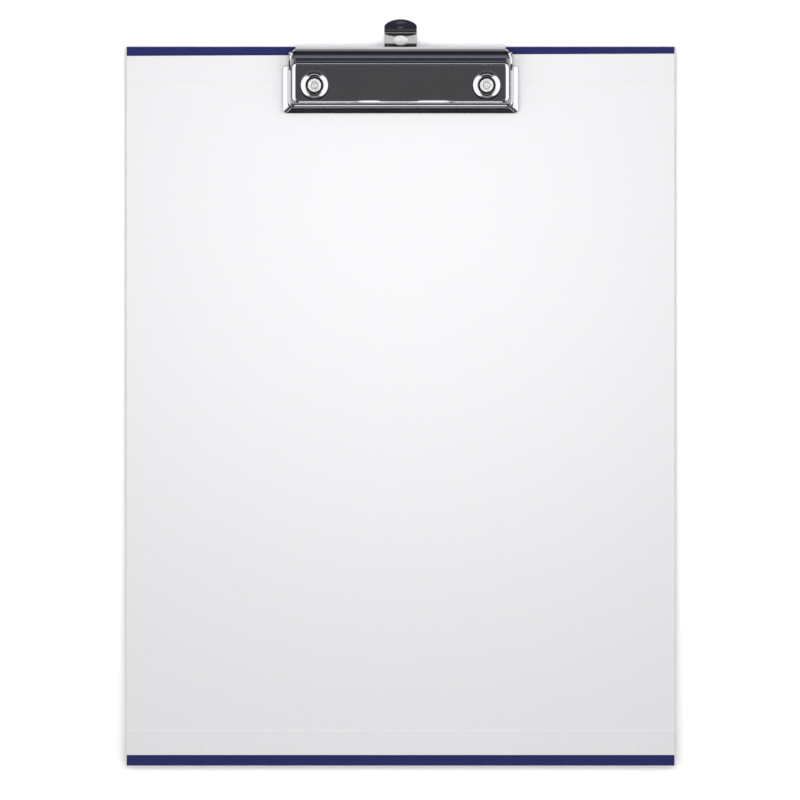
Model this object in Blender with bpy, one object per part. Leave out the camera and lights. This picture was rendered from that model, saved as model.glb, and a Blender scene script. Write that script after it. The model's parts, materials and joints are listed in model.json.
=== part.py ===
"""A4 clipboard: a wrapped greyboard with a riveted chrome clip and a spring-loaded jaw.

The board lies on its back with its writing face up. X runs across it, Y runs up to the clip
and Z is the height above the back cover. The origin is the middle of the back face.
"""

import math

import bmesh
import bpy
from mathutils import Matrix, Vector

MM = 0.001
GAP = 0.3 * MM

# Board
BOARD_WIDTH = 240 * MM
BOARD_HEIGHT = 315 * MM
COVER_THICKNESS = 0.3 * MM
LINING_THICKNESS = 0.3 * MM
CORE_TOP = 2.6 * MM
TURN_IN = 14.7 * MM
TURN_IN_STEP = 0.15 * MM
LINING_TOP_MARGIN = 3.6 * MM
LINING_TOP_SKEW = 0.5 * MM
LINING_BOTTOM_MARGIN = 4.7 * MM

HALF_WIDTH = BOARD_WIDTH / 2
TOP_EDGE = BOARD_HEIGHT / 2
CORE_BOTTOM = COVER_THICKNESS + GAP
LINING_BOTTOM = CORE_TOP + GAP
LINING_TOP = LINING_BOTTOM + LINING_THICKNESS
TURN_IN_TOP = LINING_BOTTOM + TURN_IN_STEP - GAP
TURN_IN_BOTTOM = TURN_IN_TOP - COVER_THICKNESS
LINING_END_TOP = LINING_TOP + TURN_IN_STEP

# Clip: places down the board are measured from its top edge, heights from LINING_END_TOP
SHEET = 0.8 * MM
ROLL_RADIUS = 3.9 * MM
ROLL_HALF_LENGTH = 45.9 * MM
AXIS_DOWN = 3.9 * MM
AXIS_UP = 4.2 * MM
PLATE_UP = 3.3 * MM
PLATE_HALF_WIDTH = 47.4 * MM
PLATE_REAR = 6.9 * MM
PLATE_FRONT = 24.7 * MM
PLATE_SIDE_BEND = 1.8 * MM
PLATE_FRONT_BEND = 1.1 * MM
PLATE_SKIRT_UP = 1.8 * MM
PLATE_CORNER = 2.6 * MM
TAB_NOTCH_WIDTH = 16 * MM
TAB_NOTCH_UP = 3.8 * MM

RIVET_X = 37.7 * MM
RIVET_DOWN = 17 * MM
RIVET_SHANK = 2.0 * MM
RIVET_BORE = 1.7 * MM
RIVET_HEAD = 4.2 * MM
DIMPLE_RADIUS = 5.95 * MM
DIMPLE_OVERLAP = 0.5 * MM
DIMPLE_SHOULDER = 5.5 * MM
DIMPLE_FOOT = 3.5 * MM
DIMPLE_FLOOR = 3.2 * MM
COLLAR_RADIUS = 3.0 * MM
COLLAR_BASE = 2.8 * MM
COLLAR_CREST = 2.3 * MM
COLLAR_UP = 0.9 * MM
HEAD_SUNK = 0.1 * MM
HEAD_EDGE = 0.2 * MM
RIVET_FLOOR = 0.8 * MM

JAW_INNER_HALF = 48.0 * MM
JAW_INNER_FRONT = 25.5 * MM
JAW_REAR = 8.9 * MM
JAW_INNER_CORNER = 2.4 * MM
JAW_LIP_CORNER = 1.7 * MM
JAW_BEAD_UP = 3.0 * MM
JAW_BEAD_RADIUS = 0.5 * MM
JAW_INNER_EDGE_UP = 1.7 * MM
FLANGE_WIDTH = 3.6 * MM
SIDE_LIP_UP = 0.5 * MM
FRONT_LIP_UP = 0.15 * MM
EAR_RADIUS = 2.8 * MM
EAR_FRONT = 10.5 * MM
EAR_FRONT_UP = 1.8 * MM
EAR_SLOPE = 2.0 * MM
EAR_BEND = 3.2 * MM
EAR_REAR = 1.0 * MM
EAR_ROOT = 12 * MM
EAR_BLOCK = (45 * MM, 50 * MM)
WEB_REAR = 2.6 * MM
WEB_FRONT = 6.2 * MM
WEB_END_FRONT = 5.2 * MM
WEB_END_LENGTH = 5 * MM
WEB_UP = 0.3 * MM

PIN_RADIUS = 1.25 * MM
PIN_HALF_LENGTH = 49.4 * MM
PIN_PLAY = 0.1 * MM

SPRING_WIRE = 0.4 * MM
SPRING_RADIUS = PIN_RADIUS + GAP + SPRING_WIRE
SPRING_PITCH = 1.05 * MM
SPRING_TURNS = 7.5
SPRING_INNER_END = 16 * MM
SPRING_LEG_UP = 1.4 * MM

TAB_HALF_WIDTH = 7.1 * MM
TAB_LEG_DOWN = 1.5 * MM
TAB_FLAT_UP = 3.0 * MM
TAB_SLOPE = 46
TAB_TIP_SLOPE = 18
TAB_INNER_BEND = 0.8 * MM
TAB_OUTER_BEND = 1.4 * MM
TAB_TIP_BEND = 2.2 * MM
TAB_SLOPE_END = 5.6 * MM
TAB_TIP_BEYOND = 12.2 * MM
TAB_SHOULDER_BEYOND = 8.9 * MM
TAB_HOLE_RADIUS = 3.6 * MM
TAB_HOLE_BEYOND = 2.95 * MM
TAB_LEG_FOOT = 0.25 * MM
TAB_FLAT_END = 0.2 * MM
TAB_ARCH_STEPS = 20

ROUND_STEPS = 24
CLEAR_UP = 9 * MM
BORE_REACH = 60 * MM

CHROME = ((0.62, 0.63, 0.65, 1), 0.08, 1.0)
STEEL = ((0.55, 0.55, 0.56, 1), 0.25, 1.0)
BLUE_FOIL = ((0.021, 0.026, 0.145, 1), 0.4, 0.0)
WHITE_PAPER = ((0.86, 0.86, 0.86, 1), 0.7, 0.0)
GREYBOARD = ((0.36, 0.34, 0.31, 1), 0.9, 0.0)


def down(distance):
    """Y of a place this far below the board's top edge."""
    return TOP_EDGE - distance


def up(height):
    """Z of a height above the lining under the clip."""
    return LINING_END_TOP + height


def clear_scene():
    for old in list(bpy.data.objects):
        bpy.data.objects.remove(old, do_unlink=True)


def material(name, look):
    colour, roughness, metallic = look
    made = bpy.data.materials.new(name)
    made.use_nodes = True
    shader = made.node_tree.nodes["Principled BSDF"]
    shader.inputs["Base Color"].default_value = colour
    shader.inputs["Roughness"].default_value = roughness
    shader.inputs["Metallic"].default_value = metallic
    return made


def add_object(name, bm, look=None):
    """Turns a bmesh into a named object with its faces pointing out."""
    bmesh.ops.recalc_face_normals(bm, faces=bm.faces)
    mesh = bpy.data.meshes.new(name)
    bm.to_mesh(mesh)
    bm.free()
    mesh.shade_smooth()
    mesh.set_sharp_from_angle(angle=math.radians(35))
    made = bpy.data.objects.new(name, mesh)
    bpy.context.collection.objects.link(made)
    if look:
        mesh.materials.append(material(name + "_finish", look))
    return made


def apply_boolean(target, tool, operation):
    """Joins, cuts or trims the target with a helper solid, which stays as a hidden guide."""
    tool.hide_render = True
    tool.display_type = "WIRE"
    step = target.modifiers.new(operation.lower(), "BOOLEAN")
    step.operation = operation
    step.solver = "EXACT"
    step.object = tool


def set_pivot(piece, pivot):
    """Moves an object's origin to a point without moving its shape."""
    piece.data.transform(Matrix.Translation(-pivot))
    piece.location = pivot


def extrude_outline(points, direction):
    """A solid whose flat outline, a list of vectors, is extruded along a vector."""
    bm = bmesh.new()
    face = bm.faces.new([bm.verts.new(point) for point in points])
    swept = bmesh.ops.extrude_face_region(bm, geom=[face])["geom"]
    moved = [item for item in swept if isinstance(item, bmesh.types.BMVert)]
    bmesh.ops.translate(bm, verts=moved, vec=direction)
    return bm


def side_profile(points, x_low, x_high):
    """Extrudes a (y, z) outline along X."""
    outline = [Vector((x_low, y, z)) for y, z in points]
    return extrude_outline(outline, Vector((x_high - x_low, 0, 0)))


def plan_profile(points, z_low, z_high):
    """Extrudes an (x, y) outline along Z."""
    outline = [Vector((x, y, z_low)) for x, y in points]
    return extrude_outline(outline, Vector((0, 0, z_high - z_low)))


def box(x_low, x_high, y_low, y_high, z_low, z_high):
    corners = [(x_low, y_low), (x_high, y_low), (x_high, y_high), (x_low, y_high)]
    return plan_profile(corners, z_low, z_high)


def arc(centre, radius, start, end, steps):
    """Points on an arc in a plane, from one angle to another in degrees."""
    points = []
    for step in range(steps + 1):
        angle = math.radians(start + (end - start) * step / steps)
        x = centre[0] + radius * math.cos(angle)
        y = centre[1] + radius * math.sin(angle)
        points.append((x, y))
    return points


def turned(profile, centre, steps=ROUND_STEPS):
    """Spins an (r, z) profile around an upright axis through the centre's x and y."""
    bm = bmesh.new()
    verts = [bm.verts.new((r, 0, z)) for r, z in profile]
    pairs = list(zip(verts, verts[1:]))
    if profile[0][0] > 0:
        pairs.append((verts[-1], verts[0]))
    edges = [bm.edges.new(pair) for pair in pairs]
    axis = {"cent": (0, 0, 0), "axis": (0, 0, 1), "angle": math.tau, "steps": steps}
    bmesh.ops.spin(bm, geom=verts + edges, use_merge=False, use_duplicate=False, **axis)
    bmesh.ops.remove_doubles(bm, verts=bm.verts, dist=0.001 * MM)
    bmesh.ops.translate(bm, verts=bm.verts, vec=(centre[0], centre[1], 0))
    return bm


def upright_cylinder(centre, radius, z_low, z_high, steps=ROUND_STEPS):
    profile = [(0, z_low), (radius, z_low), (radius, z_high), (0, z_high)]
    return turned(profile, centre, steps)


def cross_cylinder(radius, x_low, x_high, y, z, steps=ROUND_STEPS):
    points = arc((y, z), radius, 0, 360, steps)[:-1]
    return side_profile(points, x_low, x_high)


def loft(loops, closed_loops, closed_levels):
    """Joins a list of point loops into a skin and closes what is left open with flat caps."""
    bm = bmesh.new()
    rings = [[bm.verts.new(point) for point in loop] for loop in loops]
    levels = list(zip(rings, rings[1:]))
    if closed_levels:
        levels.append((rings[-1], rings[0]))
    for low, high in levels:
        count = len(low)
        for i in range(count if closed_loops else count - 1):
            j = (i + 1) % count
            bm.faces.new((low[i], low[j], high[j], high[i]))
    if closed_levels and not closed_loops:
        bm.faces.new([ring[0] for ring in rings])
        bm.faces.new([ring[-1] for ring in rings])
    if closed_loops and not closed_levels:
        bm.faces.new(rings[0])
        bm.faces.new(rings[-1])
    return bm


def rivet_places():
    return [(side * RIVET_X, down(RIVET_DOWN)) for side in (-1, 1)]


def cut_rivet_holes(piece, radius, z_low, z_high):
    for centre in rivet_places():
        hole = add_object(piece.name + "_hole", upright_cylinder(centre, radius, z_low, z_high))
        apply_boolean(piece, hole, "DIFFERENCE")


def make_board_core():
    """The greyboard: its face is pressed down at both ends, under the cover's turn-ins."""
    end = TOP_EDGE - COVER_THICKNESS - GAP
    inner = TOP_EDGE - TURN_IN - GAP
    low_top = TURN_IN_BOTTOM - GAP
    points = [(-end, CORE_BOTTOM), (end, CORE_BOTTOM), (end, low_top), (inner, low_top)]
    points += [(inner, CORE_TOP), (-inner, CORE_TOP), (-inner, low_top), (-end, low_top)]
    core = add_object("board_core", side_profile(points, -HALF_WIDTH, HALF_WIDTH), GREYBOARD)
    cut_rivet_holes(core, RIVET_SHANK + GAP, 0, LINING_END_TOP)
    cut_rivet_holes(core, RIVET_HEAD + GAP, 0, CORE_BOTTOM + GAP)


def make_back_cover():
    """The foil cover, which wraps the top and bottom edges and is raw at the sides."""
    outer = 2 * COVER_THICKNESS
    inner = outer - COVER_THICKNESS
    half = []
    half += arc((TOP_EDGE - outer, outer), outer, -90, 0, 3)
    half += arc((TOP_EDGE - outer, TURN_IN_TOP - outer), outer, 0, 90, 3)
    half += [(TOP_EDGE - TURN_IN, TURN_IN_TOP), (TOP_EDGE - TURN_IN, TURN_IN_BOTTOM)]
    half += arc((TOP_EDGE - outer, TURN_IN_TOP - outer), inner, 90, 0, 3)
    half += arc((TOP_EDGE - outer, outer), inner, 0, -90, 3)
    points = half + [(-y, z) for y, z in reversed(half)]
    cover = add_object("back_cover", side_profile(points, -HALF_WIDTH, HALF_WIDTH), BLUE_FOIL)
    cut_rivet_holes(cover, RIVET_HEAD + GAP, -GAP, CORE_BOTTOM)


def make_front_lining():
    """The white paper lining, a little askew along its top edge."""
    top = TOP_EDGE - LINING_TOP_MARGIN
    bottom = LINING_BOTTOM_MARGIN - TOP_EDGE
    inner = TOP_EDGE - TURN_IN - 2 * GAP
    rise = TURN_IN_STEP
    points = [(bottom, LINING_BOTTOM + rise), (-inner, LINING_BOTTOM + rise)]
    points += [(GAP - inner, LINING_BOTTOM), (inner - GAP, LINING_BOTTOM)]
    points += [(inner, LINING_BOTTOM + rise), (top, LINING_BOTTOM + rise)]
    points += [(top, LINING_TOP + rise), (inner, LINING_TOP + rise)]
    points += [(inner - GAP, LINING_TOP), (GAP - inner, LINING_TOP)]
    points += [(-inner, LINING_TOP + rise), (bottom, LINING_TOP + rise)]
    bm = side_profile(points, -HALF_WIDTH, HALF_WIDTH)
    for vert in bm.verts:
        if vert.co.y > inner + GAP:
            vert.co.y += math.copysign(LINING_TOP_SKEW, vert.co.x)
    lining = add_object("front_lining", bm, WHITE_PAPER)
    cut_rivet_holes(lining, RIVET_SHANK + GAP, CORE_BOTTOM, up(AXIS_UP))


def rounded_loop(half_width, rear, front, corner, z, steps=4):
    """A rounded rectangle at one height, with the rear and front measured down the board."""
    points = []
    points += arc((half_width - corner, down(front) + corner), corner, -90, 0, steps)
    points += arc((half_width - corner, down(rear) - corner), corner, 0, 90, steps)
    points += arc((corner - half_width, down(rear) - corner), corner, 90, 180, steps)
    points += arc((corner - half_width, down(front) + corner), corner, 180, 270, steps)
    return [Vector((x, y, z)) for x, y in points]


def plate_tray():
    """The plate's flat top with its bent-down edges, as one lofted shell."""
    loops = []
    steps = 4
    for step in range(steps + 1):
        angle = math.radians(90 * step / steps)
        side = PLATE_SIDE_BEND * (1 - math.sin(angle))
        front = PLATE_FRONT_BEND * (1 - math.sin(angle))
        z = up(PLATE_UP) - PLATE_FRONT_BEND * (1 - math.cos(angle))
        edge = (PLATE_HALF_WIDTH - side, PLATE_REAR + front, PLATE_FRONT - front)
        loops.append(rounded_loop(*edge, PLATE_CORNER - front, z))
    bottom = up(PLATE_SKIRT_UP)
    ceiling = up(PLATE_UP) - SHEET
    outer = (PLATE_HALF_WIDTH, PLATE_REAR, PLATE_FRONT)
    loops.append(rounded_loop(*outer, PLATE_CORNER, bottom))
    inner = (PLATE_HALF_WIDTH - SHEET, PLATE_REAR + SHEET, PLATE_FRONT - SHEET)
    loops.append(rounded_loop(*inner, PLATE_CORNER - SHEET, bottom))
    loops.append(rounded_loop(*inner, PLATE_CORNER - SHEET, ceiling - GAP))
    inmost = (inner[0] - SHEET, inner[1] + GAP, inner[2] - GAP)
    loops.append(rounded_loop(*inmost, PLATE_CORNER - SHEET - GAP, ceiling))
    return loft(loops, closed_loops=True, closed_levels=False)


def roll_hood():
    """The hinge roll: a sheet bent over the pin, with a straight wall down to the cover."""
    centre = (down(AXIS_DOWN), up(AXIS_UP))
    foot = TURN_IN_TOP + GAP
    inner_radius = ROLL_RADIUS - SHEET
    points = arc(centre, ROLL_RADIUS, 196, 0, 16)
    points.append((centre[0] + ROLL_RADIUS, foot))
    points.append((centre[0] + inner_radius, foot))
    points += arc(centre, inner_radius, 0, 200, 14)
    return side_profile(points, -ROLL_HALF_LENGTH, ROLL_HALF_LENGTH)


def dimple(centre):
    """A pressed cup that carries the plate on the board, with a rivet hole in its floor."""
    top = up(PLATE_UP)
    floor = LINING_TOP + GAP
    hole = RIVET_SHANK + GAP
    rim = DIMPLE_RADIUS + DIMPLE_OVERLAP
    profile = [(rim, top - 0.2 * MM), (DIMPLE_RADIUS, top - 0.05 * MM)]
    profile += [(DIMPLE_SHOULDER, top - 0.3 * MM), (DIMPLE_FOOT, floor + SHEET + 0.2 * MM)]
    profile += [(DIMPLE_FLOOR, floor + SHEET), (hole, floor + SHEET), (hole, floor)]
    profile += [(DIMPLE_FOOT, floor), (DIMPLE_SHOULDER + 0.1 * MM, top - SHEET - 0.2 * MM)]
    profile += [(DIMPLE_RADIUS + 0.15 * MM, top - SHEET + 0.1 * MM), (rim, top - 0.6 * MM)]
    return turned(profile, centre)


def make_clip_plate():
    """The fixed plate: tray, hinge roll and the two dimples, all from one sheet."""
    plate = add_object("clip_plate", plate_tray(), CHROME)
    rear = PLATE_REAR + PLATE_CORNER
    mouth = box(
        -ROLL_HALF_LENGTH + GAP,
        ROLL_HALF_LENGTH - GAP,
        down(rear),
        down(PLATE_REAR - MM),
        up(PLATE_SKIRT_UP) - MM,
        up(PLATE_UP) - SHEET,
    )
    apply_boolean(plate, add_object("plate_rear_mouth", mouth), "DIFFERENCE")
    under_roll = cross_cylinder(
        ROLL_RADIUS - SHEET / 2,
        -PLATE_HALF_WIDTH - MM,
        PLATE_HALF_WIDTH + MM,
        down(AXIS_DOWN),
        up(AXIS_UP),
    )
    apply_boolean(plate, add_object("plate_roll_recess", under_roll), "DIFFERENCE")
    apply_boolean(plate, add_object("plate_roll", roll_hood()), "UNION")
    notch = box(
        -TAB_NOTCH_WIDTH / 2,
        TAB_NOTCH_WIDTH / 2,
        down(AXIS_DOWN),
        down(-MM),
        LINING_BOTTOM - MM,
        up(TAB_NOTCH_UP),
    )
    apply_boolean(plate, add_object("plate_tab_notch", notch), "DIFFERENCE")
    for centre in rivet_places():
        opening = upright_cylinder(centre, DIMPLE_RADIUS, up(PLATE_SKIRT_UP), up(PLATE_UP) + MM)
        apply_boolean(plate, add_object("plate_dimple_cut", opening), "DIFFERENCE")
        apply_boolean(plate, add_object("plate_dimple", dimple(centre)), "UNION")


def make_rivet(name, centre):
    """A semi-tubular rivet: flat head sunk in the back, rolled collar in the dimple."""
    head = RIVET_HEAD
    low = HEAD_SUNK
    collar = LINING_TOP + GAP + SHEET + GAP
    lip = RIVET_BORE + 0.15 * MM
    profile = [(0, low), (head - 1.5 * HEAD_EDGE, low), (head, low + HEAD_EDGE)]
    profile += [(head, CORE_BOTTOM - HEAD_EDGE / 2), (head - HEAD_EDGE, CORE_BOTTOM)]
    profile += [(RIVET_SHANK, CORE_BOTTOM), (RIVET_SHANK, collar), (COLLAR_BASE, collar)]
    profile += [(COLLAR_RADIUS, collar + 0.35 * MM), (COLLAR_BASE, collar + 0.75 * MM)]
    profile += [(COLLAR_CREST, collar + COLLAR_UP), (lip, collar + 0.7 * MM)]
    profile += [(RIVET_BORE, collar + 0.3 * MM), (RIVET_BORE, CORE_BOTTOM + RIVET_FLOOR)]
    profile += [(0, CORE_BOTTOM + RIVET_FLOOR)]
    add_object(name, turned(profile, centre), STEEL)


def jaw_section():
    """The jaw's pressed section, as (outward, height, share of the lip's drop) points."""
    bead = JAW_BEAD_RADIUS
    drop = JAW_BEAD_UP
    points = [(0, JAW_INNER_EDGE_UP, 0), (0, drop, 0)]
    points += [(y, z, 0) for y, z in arc((bead, drop), bead, 180, 0, 6)[1:]]
    points += [(2.1 * bead, 2.6 * MM, 0), (2.5 * bead, 2.3 * MM, 0)]
    points += [(FLANGE_WIDTH, 0.45 * MM, 1), (FLANGE_WIDTH - 0.1 * MM, 0, 1)]
    points += [(FLANGE_WIDTH - 0.8 * MM, 0, 1), (2.2 * bead, 1.5 * MM, 0)]
    return points


def jaw_loop(outward, height, share):
    """One line of the jaw's section carried round the sides and front of the plate."""
    blend = outward / FLANGE_WIDTH
    corner = JAW_INNER_CORNER + (JAW_LIP_CORNER - JAW_INNER_CORNER) * blend
    x = JAW_INNER_HALF + outward
    y = down(JAW_INNER_FRONT + outward)
    turn = arc((x - corner, y + corner), corner, 0, -90, 6)
    right = [(x, down(JAW_REAR), 0)]
    right += [(px, py, i / (len(turn) - 1)) for i, (px, py) in enumerate(turn)]
    points = []
    for px, py, turned_share in right:
        lip = SIDE_LIP_UP + (FRONT_LIP_UP - SIDE_LIP_UP) * turned_share
        points.append(Vector((px, py, up(height + share * lip))))
    return points + [Vector((-p.x, p.y, p.z)) for p in reversed(points)]


def jaw_ear(side):
    """An ear that hangs on the pin, curving in behind the end of the roll."""
    axis = (down(AXIS_DOWN), up(AXIS_UP))
    rim_top = up(JAW_BEAD_UP + JAW_BEAD_RADIUS)
    points = arc(axis, EAR_RADIUS, 75, -60, 10)[::-1]
    lower = [(down(EAR_FRONT), up(EAR_FRONT_UP)), (down(WEB_END_FRONT), up(WEB_UP))]
    lower.append((down(WEB_REAR), up(WEB_UP)))
    points = lower + points + [(down(EAR_FRONT - EAR_SLOPE), rim_top)]
    points.append((down(EAR_FRONT), rim_top))
    block_inner, block_outer = (side * x for x in EAR_BLOCK)
    block = add_object("jaw_ear_side", side_profile(points, block_inner, block_outer))
    inner = JAW_INNER_HALF + 0.1 * MM
    outer = inner + SHEET
    centre = (outer - EAR_BEND, down(EAR_REAR + EAR_BEND))
    plan = [(inner, down(EAR_ROOT)), (outer, down(EAR_ROOT))]
    plan += arc(centre, EAR_BEND, 0, 80, 8)
    plan += arc(centre, EAR_BEND - SHEET, 80, 0, 8)
    plan = [(side * x, y) for x, y in plan]
    shell = add_object("jaw_ear_plan", plan_profile(plan, LINING_BOTTOM, up(CLEAR_UP)))
    apply_boolean(shell, block, "INTERSECT")
    return shell


def make_jaw_frame(axis):
    """The moving jaw: beaded frame, flared lip, two ears and the web beneath the pin."""
    loops = [jaw_loop(*point) for point in jaw_section()]
    jaw = add_object("jaw_frame", loft(loops, closed_loops=False, closed_levels=True), CHROME)
    for side in (-1, 1):
        apply_boolean(jaw, jaw_ear(side), "UNION")
    reach = JAW_INNER_HALF + SHEET / 2
    step = reach - WEB_END_LENGTH
    plan = [(reach, down(WEB_REAR)), (reach, down(WEB_END_FRONT))]
    plan += [(step, down(WEB_END_FRONT)), (step, down(WEB_FRONT))]
    plan += [(-x, y) for x, y in reversed(plan)]
    web = plan_profile(plan, up(WEB_UP), up(WEB_UP) + SHEET)
    apply_boolean(jaw, add_object("jaw_web", web), "UNION")
    bore = cross_cylinder(PIN_RADIUS + PIN_PLAY, -BORE_REACH, BORE_REACH, axis.y, axis.z)
    apply_boolean(jaw, add_object("jaw_pin_bore", bore), "DIFFERENCE")
    return jaw


def tab_path():
    """The middle of the tab's sheet as (beyond the top edge, height) points, from leg to tip."""
    leg = -TAB_LEG_DOWN
    flat = TAB_FLAT_UP
    points = [(leg, -TAB_LEG_FOOT)]
    points += arc((leg + TAB_INNER_BEND, flat - TAB_INNER_BEND), TAB_INNER_BEND, 180, 90, 4)
    points += arc((TAB_FLAT_END, flat - TAB_OUTER_BEND), TAB_OUTER_BEND, 90, 90 - TAB_SLOPE, 4)
    beyond, height = points[-1]
    height -= (TAB_SLOPE_END - beyond) * math.tan(math.radians(TAB_SLOPE))
    slope = math.radians(TAB_SLOPE)
    centre = (TAB_SLOPE_END + TAB_TIP_BEND * math.sin(slope), height + TAB_TIP_BEND * math.cos(slope))
    points += arc(centre, TAB_TIP_BEND, 270 - TAB_SLOPE, 270 + TAB_TIP_SLOPE, 7)
    beyond, height = points[-1]
    end = TAB_TIP_BEYOND + MM
    points.append((end, height + (end - beyond) * math.tan(math.radians(TAB_TIP_SLOPE))))
    return points


def sheet_outline(path, thickness):
    """A closed outline of even thickness round a path of points in a plane."""
    left, right = [], []
    for i, point in enumerate(path):
        before = Vector(path[max(i - 1, 0)])
        after = Vector(path[min(i + 1, len(path) - 1)])
        along = (after - before).normalized()
        across = Vector((-along.y, along.x)) * thickness / 2
        left.append(tuple(Vector(point) + across))
        right.append(tuple(Vector(point) - across))
    return left + right[::-1]


def tab_outline():
    """The tab seen from above: straight sides and an arched tip."""
    rise = TAB_TIP_BEYOND - TAB_SHOULDER_BEYOND
    inner = down(TAB_LEG_DOWN + MM)
    points = [(TAB_HALF_WIDTH, inner)]
    for step in range(TAB_ARCH_STEPS + 1):
        share = math.cos(math.pi * step / TAB_ARCH_STEPS)
        lift = (1 - abs(share) ** 1.9) ** 0.6
        points.append((share * TAB_HALF_WIDTH, down(-TAB_SHOULDER_BEYOND) + rise * lift))
    points.append((-TAB_HALF_WIDTH, inner))
    return points


def make_hanging_tab():
    """The tab that the board hangs by: a leg inside the roll's wall and a sloping face with a hole."""
    path = [(down(-beyond), up(height)) for beyond, height in tab_path()]
    bm = side_profile(sheet_outline(path, SHEET), -TAB_HALF_WIDTH - MM, TAB_HALF_WIDTH + MM)
    tab = add_object("hanging_tab", bm, STEEL)
    plan = plan_profile(tab_outline(), 0, up(CLEAR_UP))
    apply_boolean(tab, add_object("tab_plan", plan), "INTERSECT")
    centre = (0, down(-TAB_HOLE_BEYOND))
    hole = upright_cylinder(centre, TAB_HOLE_RADIUS, 0, up(CLEAR_UP))
    for vert in hole.verts:
        vert.co.y = centre[1] + (vert.co.y - centre[1]) * math.cos(math.radians(TAB_SLOPE))
    apply_boolean(tab, add_object("tab_hole", hole), "DIFFERENCE")


def make_hinge_pin(axis):
    bm = cross_cylinder(PIN_RADIUS, -PIN_HALF_LENGTH, PIN_HALF_LENGTH, axis.y, axis.z)
    return add_object("hinge_pin", bm, STEEL)


def make_spring(name, side):
    """A torsion spring round the pin: one leg against the roll's wall, one down on the web."""
    y, z = down(AXIS_DOWN), up(AXIS_UP)
    count = round(SPRING_TURNS * 12)
    points = [(SPRING_INNER_END, y + SPRING_RADIUS + GAP, up(SPRING_LEG_UP))]
    for step in range(count + 1):
        angle = math.tau * SPRING_TURNS * step / count
        x = SPRING_INNER_END + SPRING_PITCH * SPRING_TURNS * step / count
        points.append((x, y + SPRING_RADIUS * math.cos(angle), z + SPRING_RADIUS * math.sin(angle)))
    points.append((points[-1][0], y - SPRING_RADIUS, up(WEB_UP) + SHEET + GAP))
    curve = bpy.data.curves.new(name, "CURVE")
    curve.dimensions = "3D"
    curve.bevel_depth = SPRING_WIRE
    curve.bevel_resolution = 1
    curve.use_fill_caps = True
    spline = curve.splines.new("POLY")
    spline.points.add(len(points) - 1)
    for place, (along, across, height) in zip(spline.points, points):
        place.co = (side * along, across, height, 1)
    curve.materials.append(material(name + "_finish", STEEL))
    made = bpy.data.objects.new(name, curve)
    bpy.context.collection.objects.link(made)


def main():
    clear_scene()
    axis = Vector((0, down(AXIS_DOWN), up(AXIS_UP)))
    make_board_core()
    make_back_cover()
    make_front_lining()
    make_clip_plate()
    for name, centre in zip(("rivet_left", "rivet_right"), rivet_places()):
        make_rivet(name, centre)
    set_pivot(make_jaw_frame(axis), axis)
    set_pivot(make_hinge_pin(axis), axis)
    make_hanging_tab()
    make_spring("spring_left", -1)
    make_spring("spring_right", 1)


main()
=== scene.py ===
"""Clipboard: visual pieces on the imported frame, a pale floor, studio light and a camera overhead."""

import json
import math

import bmesh
import bpy
import numpy as np
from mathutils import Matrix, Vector, noise
from mathutils.geometry import delaunay_2d_cdt
from mathutils.kdtree import KDTree


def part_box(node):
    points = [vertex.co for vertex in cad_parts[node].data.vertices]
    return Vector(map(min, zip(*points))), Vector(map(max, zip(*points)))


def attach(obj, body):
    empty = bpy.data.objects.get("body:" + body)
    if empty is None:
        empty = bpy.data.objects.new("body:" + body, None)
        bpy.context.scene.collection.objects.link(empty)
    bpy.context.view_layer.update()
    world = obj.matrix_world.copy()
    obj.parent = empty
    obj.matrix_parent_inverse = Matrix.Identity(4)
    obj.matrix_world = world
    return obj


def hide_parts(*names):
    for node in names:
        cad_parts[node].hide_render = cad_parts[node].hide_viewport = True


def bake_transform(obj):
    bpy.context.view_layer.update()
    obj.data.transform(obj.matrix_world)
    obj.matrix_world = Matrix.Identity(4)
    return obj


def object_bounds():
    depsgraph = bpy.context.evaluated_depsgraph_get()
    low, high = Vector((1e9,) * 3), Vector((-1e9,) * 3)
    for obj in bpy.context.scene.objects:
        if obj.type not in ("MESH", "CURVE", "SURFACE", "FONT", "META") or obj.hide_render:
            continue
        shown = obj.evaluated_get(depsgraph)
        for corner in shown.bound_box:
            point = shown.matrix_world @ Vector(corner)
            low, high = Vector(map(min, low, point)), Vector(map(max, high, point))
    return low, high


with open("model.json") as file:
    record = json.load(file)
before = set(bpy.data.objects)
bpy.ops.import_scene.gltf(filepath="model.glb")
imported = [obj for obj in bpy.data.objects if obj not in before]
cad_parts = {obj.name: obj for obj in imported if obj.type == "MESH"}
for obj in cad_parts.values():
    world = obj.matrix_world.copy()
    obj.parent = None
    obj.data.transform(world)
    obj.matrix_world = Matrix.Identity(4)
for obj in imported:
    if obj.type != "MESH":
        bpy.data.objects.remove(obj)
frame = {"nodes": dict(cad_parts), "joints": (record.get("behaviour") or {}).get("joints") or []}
cad_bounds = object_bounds()

MM = 0.001

# Places and sizes of the frame's pieces
LINING_LOW, LINING_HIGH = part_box("front_lining")
COVER_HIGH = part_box("back_cover")[1]
PLATE_LOW, PLATE_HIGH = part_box("clip_plate")
PIN_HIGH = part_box("hinge_pin")[1]
AXIS = Vector(frame["joints"][0]["pos_m"])

TOP = COVER_HIGH[1]
HALF_WIDTH = COVER_HIGH[0]
BASE = LINING_HIGH[2]
SHEET = 0.8 * MM

# Board
COVER = 0.3 * MM
COVER_BEND = 0.6 * MM
COVER_HOLE = 4.5 * MM
COVER_EDGE = 0.06 * MM
TURN_IN = 14.7 * MM
TURN_IN_STEP = 0.15 * MM
LINING = 0.3 * MM
LINING_EDGE = 0.07 * MM
LINING_SKEW = 0.5 * MM

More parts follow.
